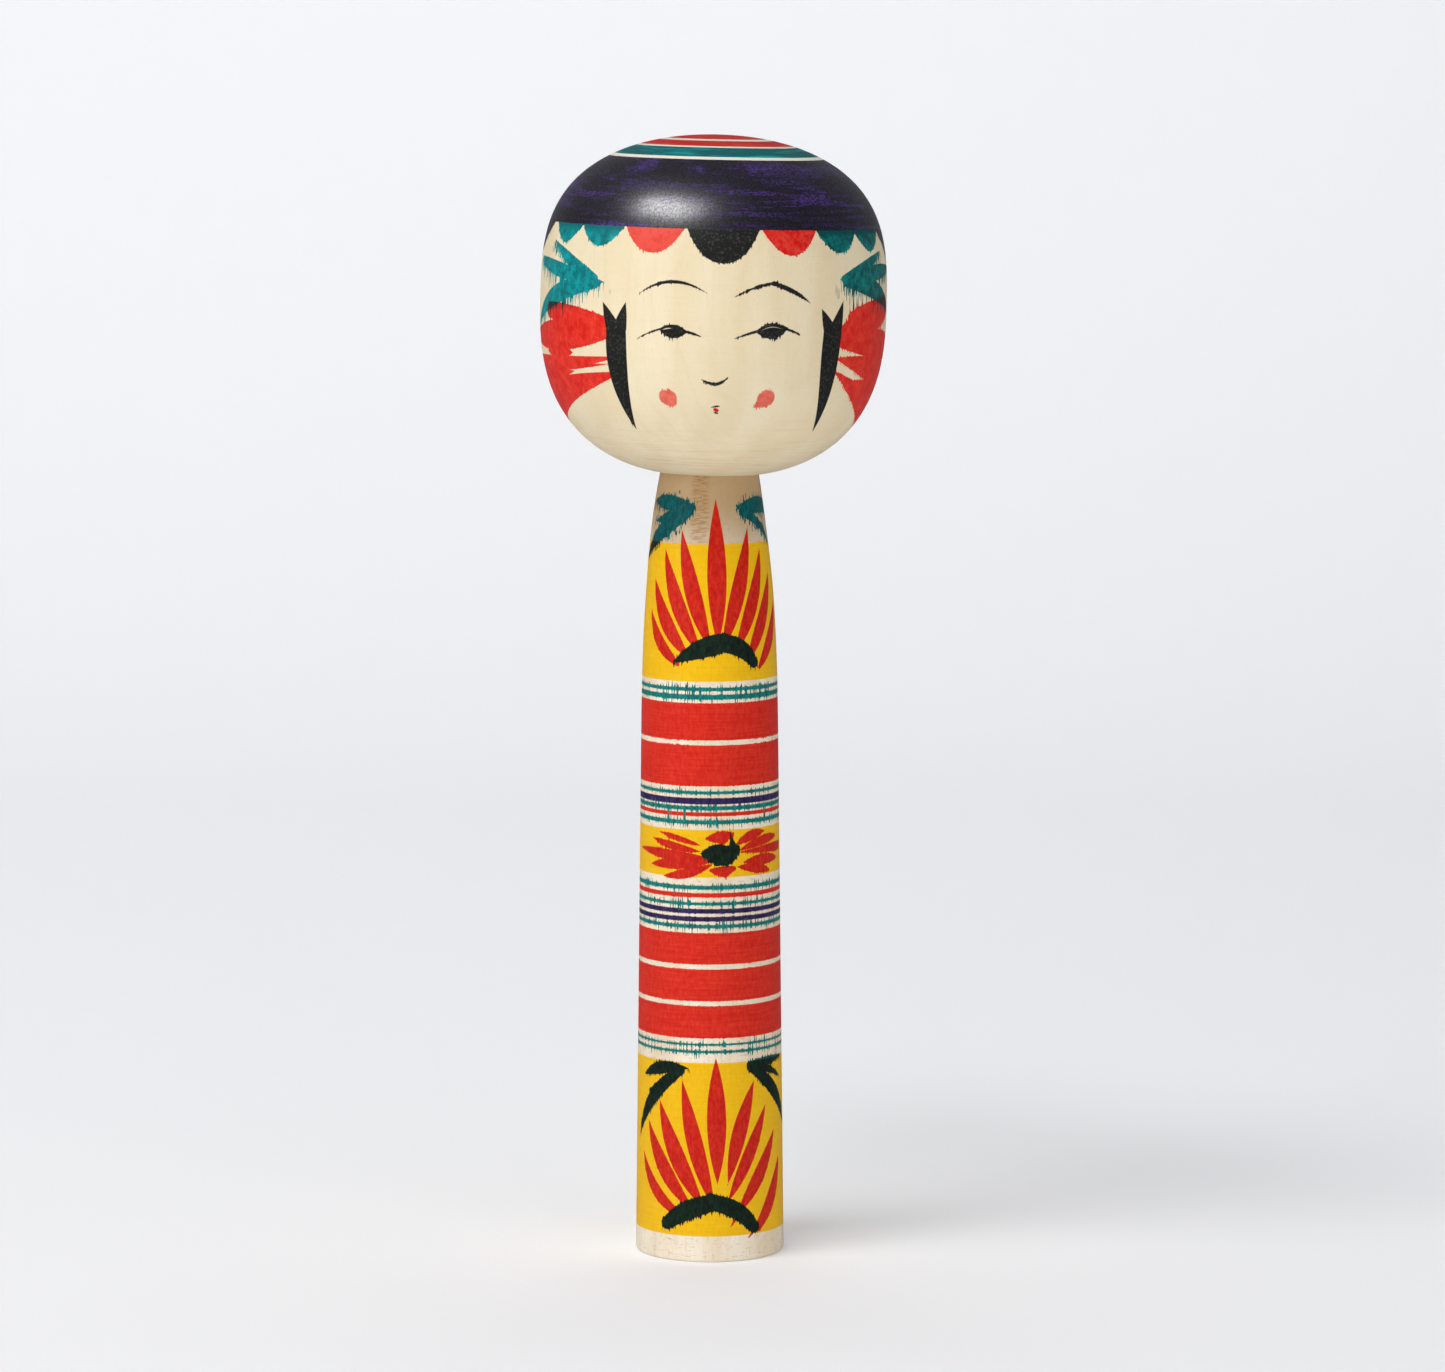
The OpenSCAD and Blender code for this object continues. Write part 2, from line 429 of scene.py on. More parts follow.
# Each petal: tip, base, bend and half widths, in millimetres around from the front and up
TOP_FLOWER = [
    ((1.7, 163.6), (1.9, 134.0), 0.0, (-0.02, 2.35, 0.4)),
    ((-7.4, 157.0), (-0.3, 133.2), -0.5, (-0.02, 1.95, 0.5)),
    ((-12.2, 152.8), (-2.4, 131.6), -0.8, (-0.02, 1.85, 0.4)),
    ((-15.4, 146.2), (-5.2, 130.6), -1.0, (-0.02, 1.8, 0.4)),
    ((-16.4, 139.6), (-7.4, 128.6), -1.2, (-0.02, 1.4, 0.5)),
    ((10.9, 157.5), (3.3, 133.0), 0.35, (-0.02, 1.9, 0.4)),
    ((14.9, 152.8), (6.3, 131.8), 0.6, (-0.02, 1.75, 0.3)),
    ((18.2, 147.6), (9.3, 129.8), 0.6, (-0.02, 1.7, 0.5)),
    ((21.0, 141.6), (12.4, 127.6), 0.8, (-0.02, 1.6, 0.4)),
]
TOP_STALK = [
    ((-8.4, 128.9), (3.2, 133.3), 0.5, (0.1, 1.85, 2.0)),
    ((2.6, 133.1), (10.7, 128.8), 1.1, (2.0, 1.9, 1.25)),
]
TOP_LEAVES = [
    ((-4.0, 161.8), (-20.2, 162.6), -0.3, (0.3, 1.6, 0.1)),
    ((-5.2, 160.9), (-21.8, 150.4), -1.0, (0.9, 1.8, 0.1)),
    ((-6.0, 160.6), (-13.2, 159.4), 0.0, (0.9, 1.6, 0.9)),
    ((-8.0, 160.0), (-17.8, 158.4), 0.0, (0.6, 0.8, 0.1)),
    ((8.2, 161.6), (22.0, 161.4), 0.4, (0.3, 1.7, 1.2)),
    ((9.4, 160.6), (21.6, 153.2), 1.0, (0.9, 0.9, 0.1)),
    ((9.6, 161.0), (14.4, 159.2), 0.4, (0.8, 1.0, 0.3)),
]
MIDDLE_FLOWER = [
    ((-11.8, 92.5), (-1.8, 90.0), 0.1, (0.0, 0.62, 0.0)),
    ((-14.1, 91.0), (-1.8, 88.7), -0.2, (0.0, 0.85, 0.0)),
    ((-19.2, 88.3), (-0.4, 86.9), 0.2, (0.1, 1.1, 0.6)),
    ((-14.6, 85.3), (-0.8, 86.6), 0.1, (0.0, 1.3, 0.5)),
    ((-10.5, 83.1), (0.4, 85.9), -0.5, (0.1, 1.05, 0.1)),
    ((-0.9, 91.5), (5.1, 92.3), -0.1, (0.0, 1.2, 0.3)),
    ((2.5, 90.2), (2.9, 91.8), 0.0, (0.4, 1.1, 1.3)),
    ((0.2, 84.7), (5.3, 85.0), -0.4, (0.3, 1.1, 0.5)),
    ((2.8, 84.6), (3.5, 83.0), 0.0, (1.0, 0.7, 0.1)),
    ((6.0, 90.2), (13.3, 92.5), 0.5, (0.1, 1.1, 0.1)),
    ((6.5, 88.8), (17.6, 91.0), 0.5, (0.0, 1.05, 0.4)),
    ((6.6, 88.4), (20.5, 88.6), 0.1, (0.0, 0.8, 0.9)),
    ((7.6, 86.2), (18.2, 86.2), 0.3, (0.1, 1.15, 0.3)),
    ((6.2, 85.3), (14.9, 83.9), 0.2, (0.1, 1.05, 0.3)),
]
MIDDLE_HEART = [
    ((-2.0, 88.3), (5.4, 88.4), -0.1, (0.0, 2.0, 0.5)),
    ((1.6, 86.5), (5.5, 88.9), 0.0, (0.9, 1.95, 1.3)),
    ((5.0, 90.2), (4.4, 93.3), 0.0, (0.8, 0.2, 0.0)),
]
LOW_FLOWER = [
    ((1.3, 44.4), (1.6, 17.0), 0.0, (-0.02, 2.0, 0.0)),
    ((-5.8, 39.4), (0.3, 13.8), -0.5, (-0.02, 1.7, 0.5)),
    ((-11.3, 34.6), (-1.8, 13.0), -0.8, (-0.02, 1.85, 0.4)),
    ((-14.8, 29.8), (-4.2, 12.2), -1.0, (-0.02, 1.7, 0.4)),
    ((-16.8, 22.8), (-7.0, 10.6), -1.4, (-0.02, 1.3, 0.8)),
    ((9.8, 39.0), (3.8, 17.0), -0.45, (-0.02, 1.65, -0.05)),
    ((13.1, 33.5), (3.9, 13.4), 0.2, (-0.02, 1.45, 0.1)),
    ((16.0, 27.6), (6.5, 11.4), 0.45, (-0.02, 1.55, 0.5)),
    ((18.1, 21.6), (10.8, 7.0), 0.9, (-0.02, 1.5, 0.9)),
    ((5.6, 9.8), (4.3, 7.6), 0.0, (0.3, 0.25, 0.05)),
    ((10.2, 7.0), (8.3, 5.0), 0.0, (0.4, 0.3, 0.1)),
]
LOW_STALK = [
    ((-9.2, 8.1), (0.8, 13.1), 0.7, (1.4, 2.0, 1.8)),
    ((0.2, 13.2), (9.6, 7.2), 1.1, (1.8, 1.8, 1.35)),
]
LOW_LEAVES = [
    ((-4.6, 42.0), (-16.6, 39.4), -1.0, (0.1, 1.35, 0.0)),
    ((-6.0, 41.4), (-18.8, 25.8), -1.6, (0.8, 1.4, 0.0)),
    ((-9.0, 40.0), (-15.0, 36.0), 0.2, (0.7, 0.6, 0.0)),
    ((8.8, 42.4), (19.9, 43.0), 0.1, (0.8, 0.9, 0.1)),
    ((10.0, 41.8), (19.2, 38.4), 0.6, (1.0, 0.7, 0.0)),
    ((8.9, 42.0), (22.6, 27.0), 1.3, (0.8, 1.4, 0.0)),
]

PALE_WOOD = paint("e7ddcb")
WARM_WOOD = paint("dccbb0")
BROWN_WOOD = paint("9c7343")
# Browner wood darkened further with painted shade, for the neck under the head
NECK_BROWN_AND_SHADE = paint("a68557")
YELLOW, YELLOW_THIN = paint("e0a800"), paint("e6b90a")
RED, RED_THIN = paint("bf140a"), paint("d5321c")
PETAL, PETAL_THIN = paint("b30e05"), paint("cb2a13")
TEAL, TEAL_THIN = paint("005a56"), paint("08837e")
LEAF_TEAL, LEAF_TEAL_THIN = paint("003f43"), paint("045f60")
LEAF_GREEN, LEAF_THIN = paint("0a150f"), paint("152c20")
VIOLET, VIOLET_THIN = paint("1c1038"), paint("3b2c62")

# How far each dye creeps along the grain, in millimetres
YELLOW_CREEP = 0.12
BAND_CREEP = 0.3
TEAL_CREEP = 0.7
PETAL_CREEP = 0.5
STALK_CREEP = 1.2
LEAF_CREEP = 2.8

# The radius that the flowers are laid out around, and where the neck turns brown and takes painted shade
# under the head, and has its ray
TRUNK_GIRTH = 15.0
NECK_DARKENS_FROM = 144.0
NECK_RAY = -2.6

# The wood and the thin coat of wax on it
WOOD_INDEX = 1.45
WOOD_SHEEN = 0.24
WAX_INDEX = 1.55
WAX_ROUGH = 0.28
RELIEF_DEPTH = 0.03


def waxed(name):
    """A new empty material for wood that is dyed and rubbed with wax."""
    material = bpy.data.materials.new(name)
    material.use_nodes = True
    tree = material.node_tree
    tree.nodes.clear()
    return material, tree


def finish_wax(tree, colour, fibre, height, bump, shine):
    """The waxed surface itself: its sheen, and the fine relief left by fibres and tool."""
    rough = grade(tree, fibre, 0.3, 0.7, 0.36, 0.5)
    relief = put(tree, "ShaderNodeBump", {
        "Height": height, "Strength": bump, "Distance": RELIEF_DEPTH * MM})
    surface = put(tree, "ShaderNodeBsdfPrincipled", {
        "Base Color": colour, "Roughness": rough, "Normal": relief.outputs[0],
        "Specular IOR Level": WOOD_SHEEN, "IOR": WOOD_INDEX, "Coat Weight": shine,
        "Coat Roughness": WAX_ROUGH, "Coat IOR": WAX_INDEX})
    put(tree, "ShaderNodeOutputMaterial", {"Surface": surface.outputs[0]})


def neck_brown_and_painted_shade(tree, wood, around, up, colour):
    """The neck: browner wood with painted shade under the head, and its one ray of dark flecks."""
    # Painted shade: the neck darkens toward the seat, partly for the head's shadow and partly for browner
    # wood.
    neck_darkening = grade(tree, up, NECK_DARKENS_FROM, seat_height - 5.0, 0.0, 0.85)
    colour = shade(tree, colour, NECK_BROWN_AND_SHADE, neck_darkening)
    off_ray = work(tree, "ABSOLUTE", work(tree, "SUBTRACT", around, NECK_RAY))
    near_ray = work(tree, "MULTIPLY", grade(tree, off_ray, 1.2, 3.4, 1.0, 0.0), neck_darkening)
    ray_flecks = grade(tree, cloud(tree, wood, (1.6, 1.6, 0.3), 2.0), 0.42, 0.62, 0.15, 1.0)
    return shade(tree, colour, BROWN_WOOD, work(tree, "MULTIPLY", near_ray, ray_flecks))


def trunk_bands(tree, up, comb, spikes, turned, mottle, colour):
    """The dyed bands, and where the yellow ones lie. Thin teal creeps furthest, in long spikes."""
    inside = bands(tree, up, YELLOW_BANDS, work(tree, "MULTIPLY", comb, YELLOW_CREEP))
    colour, on_yellow = soak(tree, colour, YELLOW, YELLOW_THIN, inside, turned)
    inside = bands(tree, up, RED_BANDS, work(tree, "MULTIPLY", comb, BAND_CREEP))
    colour, _ = soak(tree, colour, RED, RED_THIN, inside, turned)
    inside = bands(tree, up, VIOLET_BANDS, work(tree, "MULTIPLY", comb, BAND_CREEP))
    colour, _ = soak(tree, colour, VIOLET, VIOLET_THIN, inside, mottle)
    long = work(tree, "MULTIPLY_ADD", spikes, TEAL_CREEP, work(tree, "MULTIPLY", comb, TEAL_CREEP))
    inside = bands(tree, up, TEAL_BANDS, long)
    colour, _ = soak(tree, colour, TEAL, TEAL_THIN, inside, mottle)
    return colour, on_yellow


def trunk_flowers(tree, place, comb, mottle, on_yellow, colour):
    """The three flowers, whose teal leaves and stalks turn nearly black over the yellow."""
    petals = TOP_FLOWER + MIDDLE_FLOWER + LOW_FLOWER
    inside = brush(tree, place, petals, work(tree, "MULTIPLY", comb, PETAL_CREEP))
    colour, _ = soak(tree, colour, PETAL, PETAL_THIN, inside, mottle)
    leaf = shade(tree, LEAF_TEAL, LEAF_GREEN, on_yellow)
    leaf_thin = shade(tree, LEAF_TEAL_THIN, LEAF_THIN, on_yellow)
    stalks = LOW_LEAVES + TOP_STALK + LOW_STALK + MIDDLE_HEART
    inside = brush(tree, place, stalks, work(tree, "MULTIPLY", comb, STALK_CREEP))
    inside = brush(tree, place, TOP_LEAVES, work(tree, "MULTIPLY", comb, LEAF_CREEP), inside)
    colour, _ = soak(tree, colour, leaf, leaf_thin, inside, mottle)
    return colour


def trunk_finish():
    """The trunk's waxed wood, with its dyes laid in the order that they are brushed on."""
    material, tree = waxed("trunk_waxed_wood")
    wood, place, around, up, _ = surface_place(tree, TRUNK_GIRTH)
    grain = put(tree, "ShaderNodeGroup", {
        "Wood": wood, "Pale": PALE_WOOD, "Warm": WARM_WOOD, "Brown": BROWN_WOOD, "Rings": 0.07,
        "Flecks": 0.42, "Pores": 0.3, "Ring centre": (26.0, 34.0, 300.0)}, group=turned_wood).outputs
    crept = put(tree, "ShaderNodeGroup", {"Wood": wood}, group=fibre_creep).outputs
    comb, spikes = crept["Comb"], crept["Spikes"]
    mottle = grade(tree, cloud(tree, wood, (0.6, 0.6, 1.5), 4.0, 0.75), 0.36, 0.66)
    turned = grade(tree, cloud(tree, wood, (9.0, 9.0, 0.4), 4.0, 0.75), 0.38, 0.64)
    turned = work(tree, "MULTIPLY_ADD", mottle, 0.55, work(tree, "MULTIPLY", turned, 0.45))
    colour = neck_brown_and_painted_shade(tree, wood, around, up, grain["Color"])
    colour, on_yellow = trunk_bands(tree, up, comb, spikes, turned, mottle, colour)
    colour = trunk_flowers(tree, place, comb, mottle, on_yellow, colour)
    finish_wax(tree, colour, grain["Fibre"], grain["Height"], bump=0.55, shine=0.05)
    return material


lathe_tree = lathe()
trunk = turn("trunk_turning", trunk_outline(), lathe_tree, trunk_finish())
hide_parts("trunk")
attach(trunk, "trunk")

# ---------------------------------------------------------------------------------------------
# The head: a tall globe with a flatter crown, turned from the same wood in one piece with the
# peg that is pushed down into the trunk. Its cap and crown rings are dyed while it turns, its
# fringe, hair ribbons and locks are brushed on, and the face is drawn last in ink.

head_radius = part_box("head")[1].y / MM
flat_radius = 11.8
flat_middle = 8.5
CHIN_CUTS = 60
CROWN_CUTS = 80
CLOSER_TO_WIDEST = 1.4
chin_height = 35.2
crown_height = 36.4
crown_top_power = 2.1
crown_side_power = 3.2
chin_power = 2.5


def globe(height, top_power, side_power, angle):
    """One point of the globe's outline, at an angle above or below its widest line."""
    return (head_radius * math.cos(angle) ** (2 / top_power),
            height * math.sin(angle) ** (2 / side_power))


def head_outline():
    """Radius, height and share of the lean, from the peg's end to the top of the crown."""
    seat = seat_height + seat_gap
    widest = seat + chin_height
    full_chin = chin_height / (1 - (flat_radius / head_radius) ** chin_power) ** (1 / chin_power)
    flat_angle = math.asin((chin_height / full_chin) ** (chin_power / 2))
    peg_end = seat_height - peg_length
    outline = [(0.0, peg_end), (peg_radius - peg_chamfer, peg_end), (peg_radius, peg_end + peg_chamfer)]
    outline += [(peg_radius, peg_end / 2 + seat / 2), (peg_radius, seat), (flat_middle, seat)]
    for i in range(CHIN_CUTS + 1):
        angle = flat_angle * (1 - i / CHIN_CUTS) ** CLOSER_TO_WIDEST
        r, drop = globe(full_chin, chin_power, chin_power, angle)
        outline.append((r, widest - drop))
    for i in range(1, CROWN_CUTS):
        angle = math.pi / 2 * (i / CROWN_CUTS) ** CLOSER_TO_WIDEST
        r, rise = globe(crown_height, crown_top_power, crown_side_power, angle)
        outline.append((r, widest + rise))
    outline.append((0.0, widest + crown_height))
    return [(r, z, 1.0) for r, z in outline]


# The head's wood and dyes. Heights are in millimetres above the seat, and the rings on the crown
# are in millimetres out from the middle.

HAIRLINE = 52.9
CROWN_RED = [(-1.0, 10.3), (12.0, 16.1)]
CROWN_TEAL = [(17.0, 21.6)]
CAP_EDGE = 22.7

# Each scallop of the fringe: middle, half width, depth and roundness
RED_FRINGE = [(-13.4, 6.8, 5.1, 2.2), (17.0, 6.6, 5.2, 2.0)]
TEAL_FRINGE = [(-38.7, 5.9, 4.0, 1.6), (-26.8, 6.1, 4.2, 2.0), (29.9, 6.4, 4.7, 2.0),
               (41.6, 6.3, 4.6, 1.8)]
BLACK_FRINGE = [(1.9, 7.9, 6.9, 2.3)]

SIDE_LEAVES = [
    ((-27.0, 42.0), (-43.6, 49.3), 0.4, (0.7, 1.3, -0.1)),
    ((-28.0, 41.8), (-52.0, 45.0), 0.2, (0.6, 1.6, 0.5)),
    ((-27.0, 40.8), (-54.8, 30.8), -2.0, (1.0, 2.0, 0.1)),
    ((-28.6, 41.5), (-24.4, 41.2), 0.0, (1.0, 0.5, 0.0)),
    ((30.4, 42.8), (47.0, 48.3), -0.3, (0.7, 1.25, -0.1)),
    ((31.0, 42.8), (56.0, 44.4), 0.2, (0.8, 1.7, 0.3)),
    ((31.2, 42.0), (55.0, 35.4), 1.4, (0.8, 2.0, 0.1)),
    ((32.6, 42.8), (29.6, 42.8), 0.0, (1.3, 0.7, 0.1)),
]
SIDE_PETALS = [
    ((-23.0, 32.8), (-44.2, 34.5), -0.3, (1.0, 1.9, 1.7)),
    ((-22.6, 31.5), (-54.5, 28.6), 0.4, (1.6, 3.3, 1.5)),
    ((-34.2, 26.1), (-46.5, 25.8), 0.0, (0.0, 1.6, 0.0)),
    ((-34.4, 28.0), (-48.0, 27.4), 0.0, (0.2, 1.5, 0.0)),
    ((-22.0, 25.7), (-56.5, 21.8), 0.3, (0.2, 1.7, 2.8)),
    ((-23.2, 24.3), (-40.0, 22.9), 0.1, (0.0, 0.55, 1.0)),
    ((-34.4, 22.2), (-56.5, 19.0), 0.0, (0.0, 2.0, 3.0)),
    ((-21.8, 22.3), (-56.5, 13.6), -0.2, (0.4, 2.8, 4.0)),
    ((30.2, 31.8), (51.0, 36.2), 0.2, (1.2, 3.1, 2.4)),
    ((33.4, 34.6), (48.0, 36.6), 0.3, (1.4, 2.0, 1.6)),
    ((30.0, 29.7), (58.5, 27.2), 0.4, (1.1, 3.1, 2.0)),
    ((29.4, 26.2), (58.0, 20.6), 0.1, (0.2, 2.7, 3.2)),
    ((36.6, 21.2), (57.0, 15.5), 0.0, (0.1, 2.6, 2.6)),
    ((29.6, 23.3), (54.0, 13.0), -0.6, (0.2, 2.1, 2.6)),
]
LOCKS = [
    ((-21.3, 30.9), (-19.7, 10.8), -0.5, (2.5, 2.15, 0.1)),
    ((-22.1, 32.0), (-24.9, 37.4), 0.0, (1.7, 1.0, -0.1)),
    ((-20.3, 32.0), (-18.9, 37.6), 0.0, (1.6, 0.95, -0.1)),
    ((-20.3, 14.5), (-20.4, 10.9), 0.0, (0.4, 0.3, -0.05)),
    ((27.5, 31.4), (28.7, 10.8), -0.7, (2.6, 2.05, 0.1)),
    ((26.5, 32.4), (24.2, 36.9), 0.0, (1.6, 0.95, -0.1)),
    ((28.3, 32.4), (30.5, 38.6), -0.1, (1.8, 0.95, -0.1)),
]
FACE_LINES = [
    ((-15.8, 39.3), (-1.4, 39.8), 2.4, (0.0, 0.33, 0.0)),
    ((4.4, 39.1), (13.4, 42.1), 0.5, (0.05, 0.22, 0.34)),
    ((12.4, 42.0), (21.2, 38.0), 0.45, (0.34, 0.44, 0.03)),
    ((-16.2, 29.9), (-10.7, 32.2), 0.2, (0.0, 0.13, 0.22)),
    ((-11.0, 32.1), (-5.6, 31.75), 0.75, (0.2, 0.3, 0.22)),
    ((-5.9, 31.8), (-2.4, 30.8), 0.1, (0.22, 0.24, 0.06)),
    ((4.6, 30.5), (10.0, 32.3), 0.1, (0.06, 0.2, 0.27)),
    ((9.6, 32.15), (15.9, 32.7), 0.75, (0.24, 0.42, 0.27)),
    ((15.4, 32.65), (18.9, 31.4), 0.1, (0.22, 0.24, 0.05)),
    ((-2.1, 21.9), (0.8, 20.95), -0.2, (0.04, 0.26, 0.36)),
    ((0.8, 20.95), (3.5, 22.5), -0.3, (0.36, 0.26, 0.03)),
    ((0.1, 16.05), (1.9, 16.3), 0.1, (0.08, 0.14, 0.1)),
    ((0.7, 14.95), (1.6, 14.9), 0.0, (0.08, 0.13, 0.08)),
]
EYES = [
    ((-11.3, 32.05), (-5.2, 31.7), -0.15, (0.0, 1.4, 0.0)),
    ((9.0, 32.05), (16.0, 32.6), -0.15, (0.0, 1.6, 0.0)),
]
BARE_ARCS = [
    ((-10.5, 32.0), (-8.6, 32.35), 0.1, (0.0, 0.09, 0.0)),
    ((10.0, 32.15), (14.7, 32.6), 0.6, (-0.02, 0.045, -0.02)),
]
MOUTH = [((0.8, 15.6), (1.5, 15.4), 0.0, (0.3, 0.42, 0.3))]
CHEEKS = [
    ((-10.4, 17.9), (-9.2, 17.8), 0.0, (1.35, 1.55, 1.5)),
    ((-10.6, 18.3), (-9.0, 17.3), 0.0, (1.1, 1.5, 1.3)),
    ((11.9, 17.9), (12.8, 18.2), 0.0, (1.6, 1.75, 1.6)),
    ((12.0, 17.6), (10.1, 16.4), 0.0, (1.3, 0.8, 0.35)),
]

# Each scallop starts a little above the hairline, under the cap's dye
SCALLOP_LAP = 0.5

# The back hair hangs lower than the cap, from just behind each ribbon round to the nape
NAPE_START = 46.8
NAPE_FULL = 92.0
NAPE_DROP = 24.0
NAPE_CURVE = 1.6


def scallop_group():
    """How deep a point lies inside one brushed scallop hanging from the hairline."""
    tree, given = start_group("fringe_scallop", [
        ("Place", "Vector", (0, 0, 0)), ("Middle", "Float", 0.0), ("Half width", "Float", 6.0),
        ("Depth", "Float", 4.0), ("Roundness", "Float", 2.0), ("Hairline", "Float", 50.0),
        ("Creep", "Float", 0.0), ("So far", "Float", UNTOUCHED),
    ], [("Inside", "Float")])
    part = put(tree, "ShaderNodeSeparateXYZ", {0: given["Place"]}).outputs
    offset = work(tree, "ABSOLUTE", work(tree, "SUBTRACT", part["X"], given["Middle"]))
    share = work(tree, "DIVIDE", offset, given["Half width"])
    drop = work(tree, "SUBTRACT", 1.0, work(tree, "POWER", share, given["Roundness"]))
    low = work(tree, "SUBTRACT", given["Hairline"], work(tree, "MULTIPLY", drop, given["Depth"]))
    above = work(tree, "ADD", work(tree, "SUBTRACT", part["Y"], low), given["Creep"])
    inside = work(tree, "MINIMUM", above, work(tree, "SUBTRACT", given["Half width"], offset))
    below = work(tree, "SUBTRACT", work(tree, "ADD", given["Hairline"], SCALLOP_LAP), part["Y"])
    inside = work(tree, "MINIMUM", inside, below)
    return end_group(tree, {"Inside": work(tree, "MAXIMUM", inside, given["So far"])})


fringe_scallop = scallop_group()


def fringe(tree, place, scallops, creep):
    """Brushes scallops side by side along the hairline."""
    so_far = UNTOUCHED
    for middle, half_width, depth, roundness in scallops:
        so_far = put(tree, "ShaderNodeGroup", {
            "Place": place, "Middle": middle, "Half width": half_width, "Depth": depth,
            "Roundness": roundness, "Hairline": HAIRLINE, "Creep": creep, "So far": so_far},
            group=fringe_scallop).outputs[0]
    return so_far


FACE_WOOD = paint("e3d6b7")
FACE_WARM = paint("decdaa")
FACE_BROWN = paint("c29a70")
# Near-white colour for painted light on the crown
CROWN_PAINTED_LIGHT = paint("fbf6ea")
FACE_RED, FACE_RED_THIN = paint("cb130c"), paint("e23a28")
FRINGE_RED_THIN = paint("dc4a3c")
FACE_TEAL, FACE_TEAL_THIN = paint("006266"), paint("009a9e")
INK, INK_THIN = paint("1b1b1a"), paint("3a3b39")
CAP, CAP_VIOLET = paint("0f0d11"), paint("40296f")
CHEEK, CHEEK_THIN = paint("cf3428"), paint("e0604f")

# How far each dye and the ink creep along the grain, in millimetres
RIBBON_LEAF_CREEP = 5.5
RED_FRINGE_CREEP = 0.6
FRINGE_CREEP = 0.8
LOCK_CREEP = 0.2
EYE_CREEP = 0.9
LINE_CREEP = 0.45
CHEEK_CREEP = 0.9

# The ribbons' leaves creep down and hardly up
RIBBON_LEAF_CLIMB = 0.12


def tool_sweep(tree, wood, up, out):
    """The fine rounds left by the tool and by the dyeing brush, which follow the globe's curve."""
    part = put(tree, "ShaderNodeSeparateXYZ", {0: wood}).outputs
    level = work(tree, "MULTIPLY_ADD", out, 0.7, up)
    tool = put(tree, "ShaderNodeCombineXYZ", {"X": part["X"], "Y": part["Y"], "Z": level}).outputs[0]
    return cloud(tree, tool, (16.0, 16.0, 0.5), 4.0, 0.72)


def hair_ribbons(tree, place, up, creep, mottle, toward_right, colour):
    """The red ribbons beside the face with their teal leaves, which turn black where they cross."""
    thirsty = work(tree, "MULTIPLY_ADD", toward_right, 3.0, 0.9)
    thirsty = work(tree, "MULTIPLY", thirsty, grade(tree, up, 29.0, 34.0, 0.25, 1.0))
    petals = brush(tree, place, SIDE_PETALS, work(tree, "MULTIPLY", creep, thirsty))
    colour, _ = soak(tree, colour, FACE_RED, FACE_RED_THIN, petals, mottle)
    long = work(tree, "MULTIPLY", creep, RIBBON_LEAF_CREEP)
    inside = brush(tree, place, SIDE_LEAVES, long, climb=RIBBON_LEAF_CLIMB)
    # The leaves' teal deepens toward the right: partly a fuller brush, partly painted shade on the side
    # away from the light.
    leaf = shade(tree, FACE_TEAL, LEAF_TEAL, toward_right)
    leaf_thin = shade(tree, FACE_TEAL_THIN, TEAL_THIN, toward_right)
    crossing = grade(tree, petals, -0.1, 0.1)
    crossed = shade(tree, leaf, INK, crossing)
    crossed_thin = shade(tree, leaf_thin, INK_THIN, crossing)
    colour, _ = soak(tree, colour, crossed, crossed_thin, inside, mottle)
    return colour, leaf, leaf_thin


def front_fringe(tree, place, up, creep, mottle, toward_right, leaf, leaf_thin, colour):
    """The red and teal scallops under the hairline, the red paler toward the left."""
    inside = fringe(tree, place, RED_FRINGE, work(tree, "MULTIPLY", creep, RED_FRINGE_CREEP))
    # The red fringe is paler toward the left.
    paler_share = work(tree, "MULTIPLY_ADD", toward_right, -0.7, work(tree, "ADD", mottle, 0.5), clamp=True)
    colour, _ = soak(tree, colour, FACE_RED, FRINGE_RED_THIN, inside, paler_share)
    inside = fringe(tree, place, TEAL_FRINGE, work(tree, "MULTIPLY", creep, FRINGE_CREEP))
    pooled = grade(tree, up, HAIRLINE - 2.2, HAIRLINE - 0.2, 1.0, 0.1)
    colour, _ = soak(tree, colour, leaf, leaf_thin, inside, work(tree, "MULTIPLY", mottle, pooled))
    return colour


def ink_and_rouge(tree, wood, place, creep, mottle, colour):
    """The black scallop, the locks and the face in ink, then the cheeks and the mouth in red."""
    inside = fringe(tree, place, BLACK_FRINGE, work(tree, "MULTIPLY", creep, FRINGE_CREEP))
    inside = brush(tree, place, LOCKS, work(tree, "MULTIPLY", creep, LOCK_CREEP), inside)
    inside = brush(tree, place, EYES, work(tree, "MULTIPLY", creep, EYE_CREEP), inside)
    inside = brush(tree, place, FACE_LINES, work(tree, "MULTIPLY", creep, LINE_CREEP), inside)
    bare = brush(tree, place, BARE_ARCS, 0.0)
    inside = work(tree, "MINIMUM", inside, work(tree, "MULTIPLY", bare, -1.0))
    speck = grade(tree, cloud(tree, wood, (0.5, 0.5, 0.5), 2.0), 0.5, 0.7)
    colour, _ = soak(tree, colour, INK, INK_THIN, inside, speck)
    inside = brush(tree, place, CHEEKS, work(tree, "MULTIPLY", creep, CHEEK_CREEP))
    colour, _ = soak(tree, colour, CHEEK, CHEEK_THIN, inside, mottle, edge=0.16, strength=0.9)
    inside = brush(tree, place, MOUTH, 0.0)
    colour, _ = soak(tree, colour, FACE_RED, FACE_RED_THIN, inside, 0.0)
    return colour


